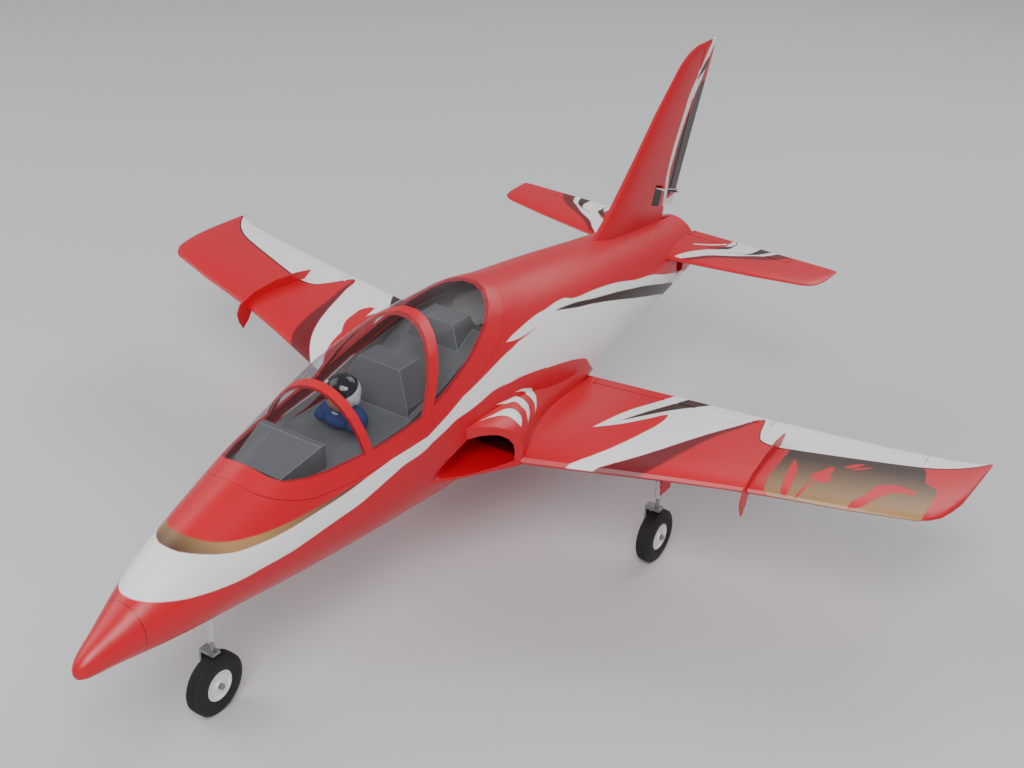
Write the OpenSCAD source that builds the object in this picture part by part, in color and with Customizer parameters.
// Sport jet model: a ducted-fan plane of moulded foam with retracting legs.
// The nose points along -Y, up is +Z, and the wheels stand on z = 0.

/* [Airframe] */
// Wall thickness of the moulded foam fuselage
foam_t = 6; // [5:0.5:7]
// Wall thickness of the canopy's red frame
frame_t = 4; // [3:0.5:5]
// Wall thickness of the clear canopy
glass_t = 1.2; // [1:0.1:2]
// Gap round the canopy hatch
hatch_gap = 0.5; // [0.4:0.1:0.8]

/* [Wing and tail] */
// Height of the wing's chord line at the centre
wing_z = 181; // [178:1:183]
// Rise of the wing for each millimetre outwards
dihedral = 0.036; // [0.03:0.001:0.04]
// Height of the tailplane
stab_z = 256; // [252:1:258]
// Thickness of every trailing edge
edge_t = 1.6; // [1.2:0.2:2.4]
// Gap between a control surface and the panel in front of it
hinge_gap = 0.8; // [0.6:0.1:1.2]

/* [Fan] */
// Radius of the fan rotor
fan_r = 40; // [38:0.5:40.5]
// Number of rotor blades
blades = 12; // [8:1:14]
// Height of the fan's axis
fan_z = 226; // [225:0.5:227]
// Inner radius of the tailpipe at its end
tailpipe_r = 37; // [36:0.5:37.5]

/* [Undercarriage] */
// Diameter of the nose tyre
nose_tyre_d = 76; // [74:1:77]
// Diameter of a main tyre
main_tyre_d = 72; // [70:1:73]
// Width of a tyre
tyre_w = 21; // [19:0.5:22]
// Distance of a main leg from the centre
main_x = 245; // [243:1:247]
// Station of the main legs
main_y = 104; // [102:1:106]
// Station of the nose leg
nose_y = -453; // [-455:1:-451]
// Height of the pivots of the main legs
main_pivot_z = 182; // [181:0.5:183]
// Height of the pivot of the nose leg
nose_pivot_z = 178; // [177:0.5:179]

/* [Controls] */
// Length of every servo arm and control horn
horn_h = 14; // [13:0.5:15]
// Radius of the control rods
rod_r = 1; // [0.8:0.1:1.1]

/* [Hidden] */
$fn = 48;

far = 200;            // reach of a cutting block past the part it cuts
ring_n = 34;          // corners of a fuselage section
nose_join = -571;     // station of the joint behind the nose cone
tail_end = 556;       // station of the fuselage's rear end
front_arch_y = -270;  // station of the canopy's front arch
arch_w = 11;          // width of an arch, seen from the side
pin_gap = 0.05;       // radial gap of a pin in its hole
servo_clear = 1;      // room round a servo in its pocket

// Fuselage sections: station, half width, top, bottom, height of the
// widest line, roundness of the upper half, roundness of the lower half
BODY = [
    [-640, 0.6, 171.6, 170.4, 171, 2, 2],
    [-637, 6, 178, 164, 171, 2, 2],
    [-628, 12, 187, 160.5, 173, 2, 2],
    [-600, 21, 202, 159, 180, 2, 2],
    [-571, 31, 218, 156, 187, 2, 2],
    [-540, 41, 235, 153, 193, 2, 2],
    [-500, 51, 253, 150, 200, 2, 2],
    [-460, 59, 267, 147, 206, 2, 2],
    [-418, 66, 283, 144, 210, 2, 2.05],
    [-360, 74, 307, 140, 213, 2, 2.1],
    [-290, 82, 330, 135, 216, 2, 2.1],
    [-200, 90, 355, 130, 218, 2, 2.1],
    [-100, 95, 366, 127, 218, 2, 2.2],
    [0, 96, 363, 126, 218, 2, 2.2],
    [80, 95, 348, 129, 219, 2, 2.2],
    [180, 91, 333, 135, 222, 2, 2.1],
    [300, 78, 314, 149, 230, 2, 2],
    [420, 64, 296, 164, 230, 2, 2],
    [520, 50, 280, 176, 227, 2, 2],
    [556, 44, 274, 181, 226, 2, 2]];

// Shoulder over the intake: station, centre, half width, height of the
// widest line, rise above it, drop below it, roundness above and below
SHOULDER = [
    [-130, 90, 32, 202, 38, 20, 2.5, 2.5],
    [-60, 94, 46, 198, 45, 20, 2.5, 2.5],
    [0, 80, 40, 196, 42, 20, 2.4, 2.5],
    [70, 66, 37, 194, 36, 20, 2.3, 2.5],
    [190, 58, 30, 196, 22, 16, 2.2, 2.2],
    [260, 50, 12, 200, 10, 8, 2, 2]];

// Intake passage: the same columns, from the tip of the side recess
// through the D-shaped mouth to the round face of the fan
PASSAGE = [
    [-186, 98, 3, 203, 3, 3, 2, 4],
    [-130, 98, 17, 199, 22, 8, 2.2, 8],
    [-60, 99, 34, 199, 36, 12, 2.4, 8],
    [0, 76, 32, 206, 32, 20, 2.2, 4],
    [60, 34, 36, 218, 36, 34, 2, 2.4],
    [110, 0, 41.5, 226, 41.5, 41.5, 2, 2]];

// Lower seam of the hatch, seen from the side: station, height
HATCH_SEAM = [
    [-417, 286], [-411, 277], [-396, 269], [-378, 262], [-353, 256],
    [-300, 254], [-180, 259], [-144, 270], [-98, 284], [-41, 302],
    [-10, 318], [14, 336], [36, 350], [64, 368]];
// Lower edge of the clear canopy, seen from the side: station, height
GLASS_EDGE = [
    [-394, 295], [-389, 287], [-378, 280], [-350, 276], [-325, 275],
    [-254, 276], [-186, 282], [-144, 293], [-110, 303], [-83, 312],
    [-51, 324], [-24, 335], [-2, 347], [12, 355], [30, 366]];
// Middle of the rear arch, seen from the side, foot and crown
REAR_ARCH = [[-178, 278], [-103, 370]];

// Wing sections: distance out, leading edge, trailing edge, thickness ratio
WING = [
    [80, -82, 181, 0.12], [143, -59, 188, 0.12], [392, 35, 216, 0.11],
    [505, 66, 232, 0.1], [557, 83, 242, 0.095], [578, 90, 248, 0.09],
    [600, 112, 257, 0.075], [609, 150, 263, 0.05], [610, 160, 262, 0.01]];
// Tailplane sections, the same columns
STAB = [
    [36, 438, 560, 0.095], [165, 463, 560, 0.09], [248, 483, 560, 0.08],
    [264, 496, 559, 0.07], [269, 515, 558, 0.05], [270, 522, 557, 0.01]];
// Fin sections: height, leading edge, trailing edge, thickness ratio
FIN = [
    [262, 270, 540, 0.07], [300, 300, 549, 0.085], [322, 332, 557, 0.09],
    [349, 365, 567, 0.09], [508, 530, 632, 0.09], [521, 551, 637, 0.08],
    [529, 572, 640, 0.06], [530, 580, 640, 0.01]];

// Root line where the wing panel meets the fuselage, in plan
ROOT_LINE = [
    [146, -90], [143, -59], [132, -25], [120, 10], [110, 45], [104, 75],
    [102, 100], [102, 200]];

// Hinge lines, each from its inner or lower end to its outer or upper end
flap_x = [106, 346];
aileron_x = [350, 541];
wing_hinge_y = [[106, 163.5], [348, 191.5], [541, 216]];
elevator_x = [40, 200];
elevator_hinge_y = 538;
rudder_z = [302, 529];
rudder_hinge = [[290, 519], [530, 605]];

function wing_chord_z(x) = wing_z + dihedral * x;
function hinge_on_wing(x) = [x, lookup(x, wing_hinge_y), wing_chord_z(x)];
function rudder_y(z) = lookup(z, rudder_hinge);
FLAP_HINGE = [hinge_on_wing(flap_x[0]), hinge_on_wing(348)];
AILERON_HINGE = [hinge_on_wing(348), hinge_on_wing(aileron_x[1])];
ELEVATOR_HINGE = [[0, elevator_hinge_y, stab_z], [100, elevator_hinge_y, stab_z]];
RUDDER_HINGE = [[0, rudder_y(300), 300], [0, rudder_y(530), 530]];
// Linkages: hinge, distance along it from its first end, rod length,
// direction of the horn's side, drop of the servo's body
LINK_AILERON = [AILERON_HINGE, 92, 60, [0, 0, -1], 0];
LINK_FLAP = [FLAP_HINGE, 96, 36, [0, 0, -1], 0];
LINK_ELEVATOR = [ELEVATOR_HINGE, 70, 48, [0, 0, -1], 3];
LINK_RUDDER = [RUDDER_HINGE, 24, 40, [1, 0, 0], 2];

servo_size = [22, 23, 11];   // along its shaft, along its case, thick
red = "#d8202b";
grey = "#77757a";

// ---- Curves and skins ----

// Index of the span of table T that holds t
function span_at(T, t, i = 0) =
    (i >= len(T) - 2 || t < T[i + 1][0]) ? i : span_at(T, t, i + 1);
// Rise of column k over span i
function rise(T, i, k) = (T[i + 1][k] - T[i][k]) / (T[i + 1][0] - T[i][0]);
// Slope of column k at row i, without overshoot
function slope(T, i, k) =
    i == 0 ? rise(T, 0, k)
    : i == len(T) - 1 ? rise(T, i - 1, k)
    : let (a = rise(T, i - 1, k), b = rise(T, i, k))
        a * b <= 0 ? 0 : 2 * a * b / (a + b);
// Smooth value of column k at t
function smooth(T, t, k) =
    let (i = span_at(T, t), h = T[i + 1][0] - T[i][0],
        u = min(1, max(0, (t - T[i][0]) / h)), v = 1 - u)
    T[i][k] * (1 + 2 * u) * v * v + T[i + 1][k] * (3 - 2 * u) * u * u
    + h * u * v * (slope(T, i, k) * v - slope(T, i + 1, k) * u);

function bend(v, p) = sign(v) * pow(abs(v), p);
// Oval section across the fuselage
function oval(y, cx, w, mid, up, down, nu, nd, n = ring_n) = [
    for (i = [0:n - 1])
        let (a = -360 * i / n, s = sin(a), e = 2 / (s >= 0 ? nu : nd))
        [cx + w * bend(cos(a), e), y, mid + (s >= 0 ? up : down) * bend(s, e)]];
// Fuselage section at y, made smaller all round by inset
function body_ring(y, inset) =
    let (mid = smooth(BODY, y, 4))
    oval(y, 0, smooth(BODY, y, 1) - inset, mid,
        smooth(BODY, y, 2) - mid - inset, mid - smooth(BODY, y, 3) - inset,
        smooth(BODY, y, 5), smooth(BODY, y, 6));
// Section of the shoulder or the passage at y, made larger by grow
function pipe_ring(T, y, grow, n) =
    oval(y, smooth(T, y, 1), smooth(T, y, 2) + grow, smooth(T, y, 3),
        smooth(T, y, 4) + grow, smooth(T, y, 5) + grow,
        smooth(T, y, 6), smooth(T, y, 7), n);

// Half thickness of a symmetric section at s of its chord
function half_t(s, t) =
    5 * t * (0.2969 * sqrt(s) - 0.126 * s - 0.3516 * s * s
        + 0.2843 * pow(s, 3) - 0.1036 * pow(s, 4));
chord_n = 13;
// Points round a section: [along the chord, across it]
function foil(lead, trail, t) =
    let (c = trail - lead, S = [for (i = [0:chord_n]) (1 - cos(180 * i / chord_n)) / 2])
    concat(
        [for (i = [chord_n:-1:0]) [lead + c * S[i], c * half_t(S[i], t) + edge_t / 2 * S[i]]],
        [for (i = [1:chord_n]) [lead + c * S[i], -c * half_t(S[i], t) - edge_t / 2 * S[i]]]);

// Closed skin over a row of rings with equal numbers of points
module skin(rings) {
    n = len(rings[0]);
    m = len(rings);
    polyhedron(
        points = [for (r = rings) each r],
        faces = concat(
            [[for (i = [0:n - 1]) i]],
            [for (j = [0:m - 2], i = [0:n - 1])
                let (a = j * n + i, b = j * n + (i + 1) % n)
                each [[a, a + n, b], [b, a + n, b + n]]],
            [[for (i = [n - 1:-1:0]) (m - 1) * n + i]]),
        convexity = 6);
}

// Turns a boolean of skins into one mesh
module meshed() resize([0, 0, 0]) children();

function steps(a, b, d) = let (n = ceil((b - a) / d)) [for (i = [0:n]) a + (b - a) * i / n];

// Fuselage between two stations
module body(y0, y1, inset = 0, d = 26)
    skin([for (y = steps(y0, y1, d)) body_ring(y, inset)]);
module passage(grow, y0 = -186, y1 = 110, d = 17)
    skin([for (y = steps(y0, y1, d)) pipe_ring(PASSAGE, y, grow, 22)]);
module shoulder()
    skin([for (y = steps(-130, 260, 24)) pipe_ring(SHOULDER, y, 0, 28)]);

// Slab across the plane whose outline is drawn as [station, height]
module side_cut(points, w = 2 * far)
    rotate([90, 0, 90]) translate([0, 0, -w / 2]) linear_extrude(w) polygon(points);
// Slab over the plane whose outline is drawn as [distance out, station]
module plan_cut(points, z0 = 100, h = 200)
    translate([0, 0, z0]) linear_extrude(h) polygon(points);

module above(line, drop = 0)
    side_cut(concat([for (p = line) [p[0], p[1] - drop]], [[90, 500], [-420, 500]]));

function along_x(T, z0, rise_x, x) =
    let (P = foil(smooth(T, x, 1), smooth(T, x, 2), smooth(T, x, 3)))
    [for (p = P) [x, p[0], z0 + rise_x * x + p[1]]];
module wing_skin()
    skin([for (x = concat(steps(80, 560, 60), [578, 590, 600, 606, 609, 610]))
        along_x(WING, wing_z, dihedral, x)]);
module stab_skin()
    skin([for (x = concat(steps(36, 248, 72), [258, 264, 268, 270]))
        along_x(STAB, stab_z, 0, x)]);
module fin_skin()
    skin([for (z = concat(steps(262, 349, 15), [402, 455, 508, 516, 522, 527, 530]))
        [for (p = foil(smooth(FIN, z, 1), smooth(FIN, z, 2), smooth(FIN, z, 3)))
            [-p[1], p[0], z]]]);

module both() {
    children();
    mirror([1, 0, 0]) children();
}

// ---- Frames of reference for hinges and linkages ----

function unit(v) = v / norm(v);
// Places children with x along a hinge line and z towards side
module on_line(A, B, side, s = 0) {
    x = unit(B - A);
    z = unit(side - (side * x) * x);
    y = cross(z, x);
    o = A + s * x;
    multmatrix([
        [x[0], y[0], z[0], o[0]],
        [x[1], y[1], z[1], o[1]],
        [x[2], y[2], z[2], o[2]],
        [0, 0, 0, 1]]) children();
}
module on_link(L) on_line(L[0][0], L[0][1], L[3], L[1]) children();

// Rod along x between two stations
module bar(r, x0, x1, n = 24)
    translate([x0, 0, 0]) rotate([0, 90, 0]) cylinder(h = x1 - x0, r = r, $fn = n);

// ---- Cut-outs ----

leg_reach = main_pivot_z - main_tyre_d / 2;     // pivot to axle, main leg
nose_reach = nose_pivot_z - nose_tyre_d / 2;    // pivot to axle, nose leg
leg_travel = 8;                                 // travel of a leg's spring
arm_t = 2.5;                                    // thickness of a wheel's arm
well_top = 187;                                 // roof over a folded wheel

// Space for the left main leg and its wheel when folded inwards
module main_well() {
    for (s = [0, leg_travel]) translate([main_x - leg_reach + s, main_y, 120])
        cylinder(h = well_top - 120, r = main_tyre_d / 2 + 4);
    translate([main_x - leg_reach - 10, main_y - 12, 120])
        cube([leg_reach - 20, 24, 71.5]);
    translate([main_x - leg_reach, main_y - 10, 120]) cube([leg_reach + 8, 20, 69]);
    translate([main_x - leg_reach + 60, main_y - 15, 120]) cube([leg_reach - 51, 30, 57.5]);
    translate([main_x - 9, main_y - 15, 120]) cube([57, 30, 79]);
}
// Space for the nose leg and its wheel when folded back
module nose_well()
    translate([-24, nose_y - 40, 100]) cube([48, 46 + nose_reach + nose_tyre_d / 2, 122]);

// Space for a servo, its arm and the foot of its rod
module servo_pocket(L)
    on_link(L) translate([-servo_size[0] - 2 - servo_clear, L[2] - 7, L[4] - servo_size[2] / 2 - 0.5])
        cube([servo_size[0] + 8, servo_size[1] + 3, 40]);

nose_r = 3;            // radius of a control surface's rounded front
fin_nose_r = 4.2;      // the same for the rudder

// Block behind the rounded front of a surface, along part of a hinge line
module behind(H, side, x0, x1, back)
    on_line(H[0], H[1], side) translate([x0, back, -40]) cube([x1 - x0, 120, 80]);

up = [0, 0, 1];
left = [1, 0, 0];
flap_len = flap_x[1] - flap_x[0] + 1.6;
aileron_len = norm(AILERON_HINGE[1] - AILERON_HINGE[0]);
elevator_len = elevator_x[1] - elevator_x[0];
rudder_len = norm(RUDDER_HINGE[1] - RUDDER_HINGE[0]);
gap_side = 1;          // gap at each end of a control surface

module wing_slots() {
    behind(FLAP_HINGE, up, -1, flap_len + gap_side, -nose_r - hinge_gap);
    behind(AILERON_HINGE, up, gap_side, aileron_len + gap_side, -nose_r - hinge_gap);
}
module stab_slot()
    behind(ELEVATOR_HINGE, up, elevator_x[0] - gap_side, elevator_x[1] + gap_side,
        -nose_r - hinge_gap);
module rudder_slot()
    on_line(RUDDER_HINGE[0], RUDDER_HINGE[1], left)
        translate([-30, -120 + fin_nose_r + hinge_gap, -40]) cube([rudder_len + 60, 120, 80]);

SPARS = [[15, 240], [55, 300]];   // station and outer end of each wing spar
spar_r = 4;
// Round bars along the spars of the left wing, rising with its dihedral
module spar_bars(r, over = 0)
    for (p = SPARS)
        on_line([20, p[0], wing_z - 5], [120, p[0], wing_z - 5 + 100 * dihedral], up)
            bar(r, -over, p[1] - 20 + over);
module spar_tubes() {
    color("#2b2b2e") both() difference() {
        spar_bars(spar_r);
        spar_bars(spar_r - 1, 1);
    }
}

// ---- Fuselage ----

module nose_cone() {
    color(red) {
        skin([for (y = [-640, -639, -637, -634, -628, -618, -608, -596, -584, nose_join])
            body_ring(y, 0)]);
        translate([0, nose_join - 0.01, 187]) rotate([-90, 0, 0]) cylinder(h = 8, r = 15);
    }
}

// Plan outline of everything inside the wing's root line
module inside_root()
    plan_cut(concat(ROOT_LINE, [[-10, 200], [-10, -90]]));

// Floor in front of the intake mouth, thinning to a lip
module intake_shelf()
    hull() {
        translate([84, -176, 194]) sphere(r = 4, $fn = 12);
        translate([134, -62, 184.5]) sphere(r = 4.5, $fn = 12);
        translate([118, -52, 178]) sphere(r = 6, $fn = 12);
        translate([72, -150, 186]) sphere(r = 6, $fn = 12);
        translate([72, -52, 174]) sphere(r = 8, $fn = 12);
    }

// Outer form of the left half: body, intake shoulder and wing root
module left_form() {
    body(nose_join, tail_end);
    difference() {
        shoulder();
        plan_cut([[60, -153], [154, -41], [200, -60], [200, -200], [0, -200]]);
    }
    intersection() {
        wing_skin();
        inside_root();
    }
    intake_shelf();
}

module cockpit_hollow() body(nose_join + 6, 96, foam_t, 40);

// Round bores for the fan and its tailpipe
module tail_bores()
    translate([0, 0, fan_z]) rotate([-90, 0, 0]) {
        translate([0, 0, 90]) cylinder(h = 92, r = 44);
        translate([0, 0, 181]) cylinder(h = 25, r1 = 42, r2 = 41.7);
        translate([0, 0, 205]) cylinder(h = 400, r1 = 41.8, r2 = 38.2);
    }

module fuselage_left() {
    color(red) meshed() difference() {
        intersection() {
            union() {
                difference() {
                    left_form();
                    cockpit_hollow();
                }
                intersection() {
                    body(-200, 96, 2);
                    passage(5, -186, -40);
                }
            }
            translate([0, -600, 0]) cube([far, 1200, 500]);
        }
        above(HATCH_SEAM);
        passage(0, -186, -50);
        passage(1.7, -54, 110);
        tail_bores();
        main_well();
        nose_well();
        spar_bars(spar_r + 0.2, 1);
        stab_skin();
        fin_skin();
        mirror([1, 0, 0]) fin_skin();
        stab_slot();
        servo_pocket(LINK_ELEVATOR);
        translate([0, nose_join - 1, 187]) rotate([-90, 0, 0]) cylinder(h = 9, r = 15.2);
    }
}
module fuselage_right() {
    mirror([1, 0, 0]) fuselage_left();
}

// ---- Wing ----

module wing_left() {
    color(red) meshed() difference() {
        wing_skin();
        inside_root();
        wing_slots();
        main_well();
        spar_bars(spar_r + 0.2, 1);
        servo_pocket(LINK_AILERON);
        servo_pocket(LINK_FLAP);
    }
}
module wing_right() {
    mirror([1, 0, 0]) wing_left();
}

// Outline of the thin fence that wraps the leading edge, from the side
FENCE = [
    [26, 165], [19, 177], [16, 190], [22, 203], [48, 214], [90, 219],
    [132, 217], [161, 212], [140, 198], [60, 192], [42, 186], [37, 176]];
module wing_fences() {
    color(red) meshed() both() difference() {
        translate([392, 0, 0]) translate([0, 30, 0]) rotate([0, 0, 5]) translate([0, -30, 0])
            side_cut(FENCE, 1.8);
        wing_skin();
    }
}

// Moving panel: the part of a skin beyond a hinge line, from x0 to x1 along
// it and past x1 by tip, with a rounded front of radius r
module panel(H, side, x0, x1, r, y0 = 0, tip = 0)
    meshed() {
        intersection() {
            children();
            on_line(H[0], H[1], side) translate([x0, y0, -40]) cube([x1 + tip - x0, 120, 80]);
        }
        on_line(H[0], H[1], side) bar(r, x0, x1);
    }

module flap_left() {
    color(red) {
        panel(FLAP_HINGE, up, 0, flap_len, nose_r) wing_skin();
        horn(LINK_FLAP);
    }
}
module flap_right() {
    mirror([1, 0, 0]) flap_left();
}
module aileron_left() {
    color(red) {
        panel(AILERON_HINGE, up, 2 * gap_side, aileron_len, nose_r) wing_skin();
        horn(LINK_AILERON);
    }
}
module aileron_right() {
    mirror([1, 0, 0]) aileron_left();
}

// ---- Tail ----

module stabilizer_left() {
    color(red) meshed() difference() {
        stab_skin();
        stab_slot();
        servo_pocket(LINK_ELEVATOR);
    }
}
module stabilizer_right() {
    mirror([1, 0, 0]) stabilizer_left();
}
module elevator_left() {
    color(red) {
        panel(ELEVATOR_HINGE, up, elevator_x[0], elevator_x[1], nose_r) stab_skin();
        horn(LINK_ELEVATOR);
    }
}
module elevator_right() {
    mirror([1, 0, 0]) elevator_left();
}

module fin() {
    color(red) meshed() difference() {
        fin_skin();
        rudder_slot();
        servo_pocket(LINK_RUDDER);
        tail_bores();
        plan_cut([[-40, 480], [40, 480], [40, 600], [-40, 600]], 200, 72);
    }
}
module rudder() {
    color(red) {
        panel(RUDDER_HINGE, left, 2, rudder_len - 6, fin_nose_r - 0.4, -120, 26) fin_skin();
        horn(LINK_RUDDER);
    }
}

// ---- Linkages ----

horn_t = 2;            // thickness of a horn or a servo arm
pin_r = 0.8;           // radius of the pin at each end of a rod

// Horn under a control surface, with its hole over the hinge line
module horn(L)
    on_link(L) difference() {
        translate([-horn_t / 2, 0, 0]) rotate([90, 0, 90]) linear_extrude(horn_t)
            polygon([[-11, 1], [-1, 1], [2.2, horn_h - 2], [2.2, horn_h + 2],
                [-2.2, horn_h + 2], [-5, horn_h - 3]]);
        translate([0, 0, horn_h]) bar(pin_r + pin_gap, -5, 5);
    }

module servo_arm(L) {
    color("white") on_link(L) translate([0, L[2], 0]) difference() {
        union() {
            bar(3, -horn_t / 2 - 0.6, horn_t / 2);
            translate([-horn_t / 2, -2, 0]) cube([horn_t, 4, horn_h + 2]);
        }
        translate([0, 0, horn_h]) bar(pin_r + pin_gap, -5, 5);
    }
}

// Rod from the horn to the servo arm, with a pin at the horn and an eye
// that stays clear of the arm at the servo
module pushrod(L) {
    color("silver") on_link(L) {
        translate([0, 0, horn_h]) bar(pin_r, -1.6, 3.5);
        translate([3, 0, horn_h]) rotate([-90, 0, 0]) cylinder(h = L[2], r = rod_r, $fn = 24);
        translate([3, 0, horn_h]) sphere(r = rod_r + 0.6, $fn = 24);
        translate([3, L[2], horn_h]) sphere(r = rod_r + 0.6, $fn = 24);
    }
}
module servo_arm_aileron_left() { servo_arm(LINK_AILERON); }
module servo_arm_flap_left() { servo_arm(LINK_FLAP); }
module servo_arm_elevator_left() { servo_arm(LINK_ELEVATOR); }
module servo_arm_rudder() { servo_arm(LINK_RUDDER); }
module pushrod_aileron_left() { pushrod(LINK_AILERON); }
module pushrod_flap_left() { pushrod(LINK_FLAP); }
module pushrod_elevator_left() { pushrod(LINK_ELEVATOR); }
module pushrod_rudder() { pushrod(LINK_RUDDER); }

module servo_body(L)
    on_link(L) translate([-servo_size[0] - 2, L[2] - 6, L[4] - servo_size[2] / 2])
        cube(servo_size);
module servos() {
    color("#1d1d22") {
        both() for (L = [LINK_AILERON, LINK_FLAP, LINK_ELEVATOR]) servo_body(L);
        servo_body(LINK_RUDDER);
    }
}

// ---- Canopy hatch ----

module canopy_shell(t, d) {
    difference() {
        body(-420, 80, 0, d);
        body(-421, 81, t, d);
    }
}
module arches() {
    side_cut([
        [front_arch_y - arch_w / 2, 250], [front_arch_y + arch_w / 2, 250],
        [front_arch_y + arch_w / 2, 400], [front_arch_y - arch_w / 2, 400]]);
    side_cut([for (p = [[0, -1], [0, 1], [1, 1], [1, -1]])
        REAR_ARCH[p[0]] + [p[1] * arch_w * 0.7, 0]]);
}
module canopy_frame() {
    color(red) meshed() difference() {
        intersection() {
            canopy_shell(frame_t, 20);
            above(HATCH_SEAM, -hatch_gap);
        }
        difference() {
            above(GLASS_EDGE);
            arches();
        }
    }
}
module canopy_glass() {
    color("#b8c4cc", 0.35) meshed() difference() {
        intersection() {
            canopy_shell(glass_t, 20);
            above(GLASS_EDGE);
        }
        arches();
    }
}

// Grey cockpit moulding: a floor with raised blocks before and behind the pilot
module cockpit_tub() {
    color(grey) meshed() intersection() {
        body(-420, 80, frame_t + 0.3, 20);
        union() {
            above(HATCH_SEAM, -3);
            body(-400, 60, foam_t + 2, 40);
        }
        translate([-56, -400, 200]) cube([112, 460, 200]);
        union() {
            side_cut([[-375, 261], [-345, 255], [-180, 255], [-100, 268], [-40, 290],
                [0, 312], [-20, 316], [-60, 302], [-110, 282], [-180, 264], [-345, 263]]);
            hull() {
                translate([-34, -372, 260]) cube([68, 8, 16]);
                translate([-44, -318, 260]) cube([88, 8, 34]);
            }
            hull() {
                translate([-50, -172, 260]) cube([100, 50, 18]);
                translate([-30, -162, 260]) cube([60, 36, 58]);
            }
            hull() {
                translate([-42, -60, 270]) cube([84, 50, 24]);
                translate([-26, -52, 280]) cube([52, 36, 52]);
            }
        }
    }
}

// Pilot's bust: shoulders, arms, neck, face and helmet
module pilot() {
    color("#2f4f86") hull() {
        for (x = [-24, 24]) translate([x, -228, 277]) sphere(r = 11.5, $fn = 20);
        translate([0, -227, 280]) sphere(r = 13, $fn = 20);
    }
    color("#e7b189") translate([0, -232, 304]) sphere(r = 18.5, $fn = 32);
    color("white") translate([0, -227, 309]) sphere(r = 22, $fn = 32);
}

// ---- Fan ----

module intake_duct() {
    color("#5d0f14") meshed() difference() {
        both() passage(1.3, -50, 108.5);
        both() passage(0, -51, 109);
        translate([-60, 108, 160]) cube([120, 10, 130]);
    }
}
fan_y = [110, 178];    // stations of the housing's two ends
module fan_axis() translate([0, 0, fan_z]) rotate([-90, 0, 0]) children();
module fan_housing() {
    color("#2a2a2d") fan_axis() {
        difference() {
            translate([0, 0, fan_y[0]]) cylinder(h = fan_y[1] - fan_y[0], r = 43.5);
            translate([0, 0, fan_y[0] - 1]) cylinder(h = fan_y[1], r = fan_r + 0.6);
        }
        difference() {
            translate([0, 0, 146]) cylinder(h = 32, r = 18);
            translate([0, 0, 145]) cylinder(h = 34, r = 16);
        }
        for (i = [0:4]) rotate([0, 0, 72 * i])
            translate([17, -0.8, 150]) cube([fan_r - 16.2, 1.6, 24]);
    }
}
module fan_motor() {
    color("#8f9296") fan_axis() {
        translate([0, 0, 148]) cylinder(h = 50, r = 15.9);
        translate([0, 0, 114]) cylinder(h = 36, r = 2.5);
    }
}
module fan_rotor() {
    color("#3a3a3e") fan_axis() difference() {
        union() {
            translate([0, 0, 118]) cylinder(h = 25, r = 16);
            translate([0, 0, 102]) cylinder(h = 16, r1 = 5, r2 = 16);
            for (i = [0:blades - 1]) rotate([0, 0, 360 / blades * i])
                translate([15, 0, 131]) rotate([32, 0, 0])
                    translate([0, -1, -9]) cube([fan_r - 15.5, 2, 18]);
        }
        translate([0, 0, 113]) cylinder(h = 40, r = 2.5 + pin_gap);
    }
}
module thrust_tube() {
    color("#b9bcc0") fan_axis() rotate_extrude()
        polygon([
            [fan_r + 0.6, fan_y[1]], [41.4, fan_y[1]], [41.2, 205],
            [tailpipe_r + 0.9, 520], [tailpipe_r + 0.9, tail_end],
            [tailpipe_r, tail_end], [tailpipe_r, 520], [40, 205]]);
}

// ---- Inside the nose ----

module battery() {
    color("#2b57a5") translate([-24, -262, 146]) cube([48, 150, 44]);
}
module speed_controller() {
    color("#3d4046") translate([-18, -98, 137]) cube([36, 70, 16]);
}
module receiver() {
    color("#4a4d55") translate([-14, -20, 136]) cube([28, 48, 15]);
}

// ---- Landing gear ----

leg_r = 4.5;           // radius of a leg's cylinder
piston_r = 2.5;        // radius of the sliding rod inside it
axle_r = 2;            // radius of an axle
leg_foot_z = 98;       // lower end of a leg's cylinder
arm_x = -tyre_w / 2 - 1.5;   // outer plane of the arm beside the wheel

// Arm, axle and sliding rod of a wheel of diameter d, for a leg at x = 0, y = 0
module wheel_arm(d) {
    top = d + 4;
    translate([arm_x - arm_t, -6, top - 1]) cube([6 - arm_x + arm_t, 12, 4]);
    translate([arm_x - arm_t, -6, d / 2 - 7]) cube([arm_t, 12, top - d / 2 + 7]);
    translate([0, 0, top + 2]) cylinder(h = 60, r = piston_r);
    translate([0, 0, d / 2]) {
        bar(axle_r, arm_x - 1, tyre_w / 2 + 1);
        bar(3.4, tyre_w / 2 + 0.7, tyre_w / 2 + 2.6);
    }
}
// Rim, spokes and boss of a wheel centred on the origin, turning about x
module wheel_hub(d) {
    r = d / 2 - 16;
    difference() {
        union() {
            rotate([0, 90, 0]) rotate_extrude()
                polygon([[4, -5], [r - 4, -3], [r - 3, -tyre_w / 2 + 1], [r, -tyre_w / 2 + 1],
                    [r, tyre_w / 2 - 1], [r - 3, tyre_w / 2 - 1], [r - 4, 3], [4, 5]]);
            bar(5, -tyre_w / 2, tyre_w / 2);
        }
        bar(axle_r + pin_gap, -20, 20);
    }
}
module wheel_tyre(d)
    rotate([0, 90, 0]) rotate_extrude(convexity = 4) difference() {
        intersection() {
            translate([d / 2 - 10.5, 0]) scale([10.5, tyre_w / 2]) circle(r = 1, $fn = 48);
            square([2 * d, tyre_w], center = true);
        }
        translate([0, -tyre_w]) square([d / 2 - 16, 2 * tyre_w]);
    }

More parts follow.
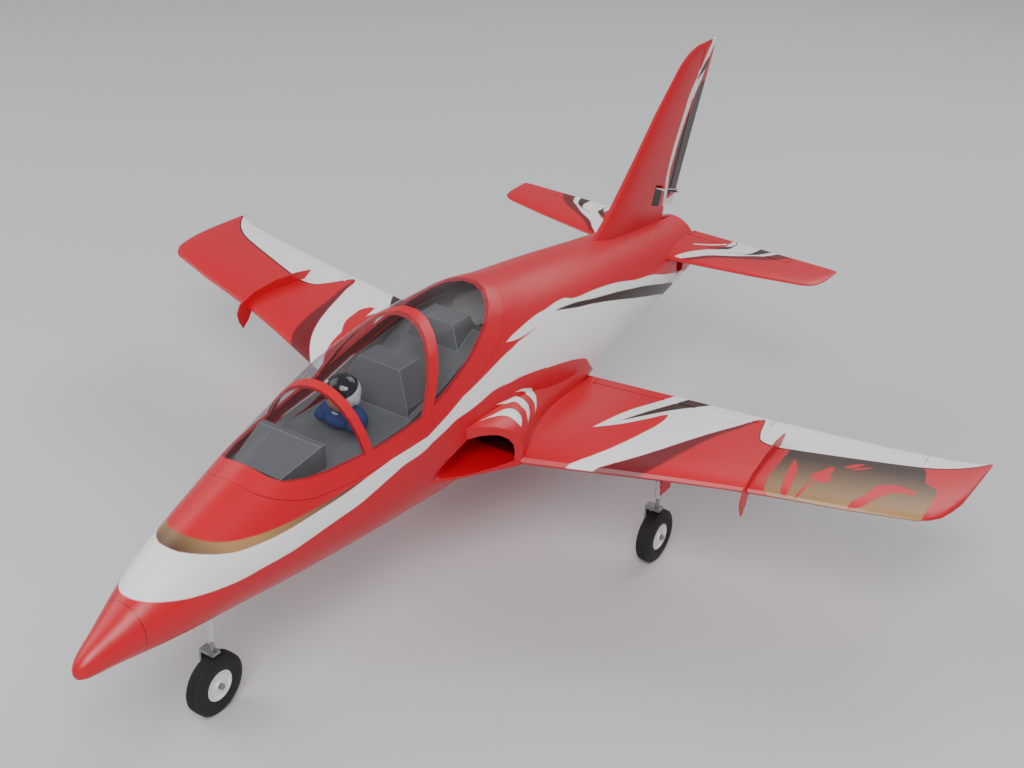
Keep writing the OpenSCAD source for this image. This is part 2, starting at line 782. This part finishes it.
module nose_trunnion() {
    color("#9a9da2") translate([0, nose_y, nose_pivot_z]) difference() {
        union() {
            bar(8, -9, 9);
            translate([0, 0, -21]) cylinder(h = 21, r = 6.5);
            bar(2, -14, 14);
        }
        translate([0, 0, -22]) cylinder(h = 27, r = 3 + pin_gap);
    }
}
module nose_strut() {
    color("silver") translate([0, nose_y, 0]) difference() {
        union() {
            translate([0, 0, leg_foot_z]) cylinder(h = 56, r = leg_r);
            translate([0, 0, 150]) cylinder(h = 30, r = 3);
            translate([-15, -3, 148]) cube([30, 6, 3]);
        }
        translate([0, 0, leg_foot_z - 1]) cylinder(h = 56, r = piston_r + pin_gap);
    }
}
module nose_fork() {
    color("#c9ccd0") translate([0, nose_y, 0]) wheel_arm(nose_tyre_d);
}
module nose_hub() {
    color("white") translate([0, nose_y, nose_tyre_d / 2]) wheel_hub(nose_tyre_d);
}
module nose_tyre() {
    color("#1b1b1d") translate([0, nose_y, nose_tyre_d / 2]) wheel_tyre(nose_tyre_d);
}

module main_strut_left() {
    color("silver") translate([main_x, main_y, 0]) difference() {
        union() {
            translate([0, 0, leg_foot_z - 4]) cylinder(h = main_pivot_z - leg_foot_z, r = leg_r);
            translate([-5, -11, main_pivot_z - 6]) cube([10, 22, 12]);
            translate([0, 0, main_pivot_z]) rotate([90, 0, 0])
                cylinder(h = 29, r = 2, center = true);
            for (z = [114, 156]) translate([3, -4, z]) cube([5, 8, 4]);
        }
        translate([0, 0, leg_foot_z - 5]) cylinder(h = 62, r = piston_r + pin_gap);
    }
}
module main_door_left() {
    color(red) translate([main_x + 8, main_y - 13, 106]) cube([1.5, 26, 64]);
}
module main_fork_left() {
    color("#c9ccd0") translate([main_x, main_y, 0]) wheel_arm(main_tyre_d);
}
module main_hub_left() {
    color("white") translate([main_x, main_y, main_tyre_d / 2]) wheel_hub(main_tyre_d);
}
module main_tyre_left() {
    color("#1b1b1d") translate([main_x, main_y, main_tyre_d / 2]) wheel_tyre(main_tyre_d);
}

// Cheek plates with pin holes, on a gearbox
module main_retract() {
    translate([main_x + 8, main_y - 14, 181]) cube([38, 28, 17]);
    for (y = [-14.5, 12]) difference() {
        translate([main_x - 7, main_y + y, main_pivot_z - 5]) cube([18, 2.5, 13]);
        translate([main_x, main_y, main_pivot_z]) rotate([90, 0, 0])
            cylinder(h = 40, r = 2 + pin_gap, center = true);
    }
}
module nose_retract() {
    translate([-14, nose_y - 37, 170]) cube([28, 27, 20]);
    for (x = [-13, 10.5]) difference() {
        translate([x, nose_y - 12, 170]) cube([2.5, 19, 16]);
        translate([0, nose_y, nose_pivot_z]) bar(2 + pin_gap, -20, 20);
    }
}
module retract_units() {
    color("#2e2e31") {
        both() main_retract();
        nose_retract();
    }
}

// ---- Right-hand copies ----

module servo_arm_aileron_right() { mirror([1, 0, 0]) servo_arm_aileron_left(); }
module servo_arm_flap_right() { mirror([1, 0, 0]) servo_arm_flap_left(); }
module servo_arm_elevator_right() { mirror([1, 0, 0]) servo_arm_elevator_left(); }
module pushrod_aileron_right() { mirror([1, 0, 0]) pushrod_aileron_left(); }
module pushrod_flap_right() { mirror([1, 0, 0]) pushrod_flap_left(); }
module pushrod_elevator_right() { mirror([1, 0, 0]) pushrod_elevator_left(); }
module main_strut_right() { mirror([1, 0, 0]) main_strut_left(); }
module main_door_right() { mirror([1, 0, 0]) main_door_left(); }
module main_fork_right() { mirror([1, 0, 0]) main_fork_left(); }
module main_hub_right() { mirror([1, 0, 0]) main_hub_left(); }
module main_tyre_right() { mirror([1, 0, 0]) main_tyre_left(); }

nose_cone();
fuselage_left();
fuselage_right();
wing_left();
wing_right();
spar_tubes();
wing_fences();
stabilizer_left();
stabilizer_right();
fin();
intake_duct();
fan_housing();
fan_motor();
fan_rotor();
thrust_tube();
battery();
speed_controller();
receiver();
servos();
retract_units();
canopy_frame();
canopy_glass();
cockpit_tub();
pilot();
aileron_left();
aileron_right();
flap_left();
flap_right();
elevator_left();
elevator_right();
rudder();
servo_arm_aileron_left();
servo_arm_aileron_right();
servo_arm_flap_left();
servo_arm_flap_right();
servo_arm_elevator_left();
servo_arm_elevator_right();
servo_arm_rudder();
pushrod_aileron_left();
pushrod_aileron_right();
pushrod_flap_left();
pushrod_flap_right();
pushrod_elevator_left();
pushrod_elevator_right();
pushrod_rudder();
nose_trunnion();
nose_strut();
nose_fork();
nose_hub();
nose_tyre();
main_strut_left();
main_door_left();
main_fork_left();
main_hub_left();
main_tyre_left();
main_strut_right();
main_door_right();
main_fork_right();
main_hub_right();
main_tyre_right();
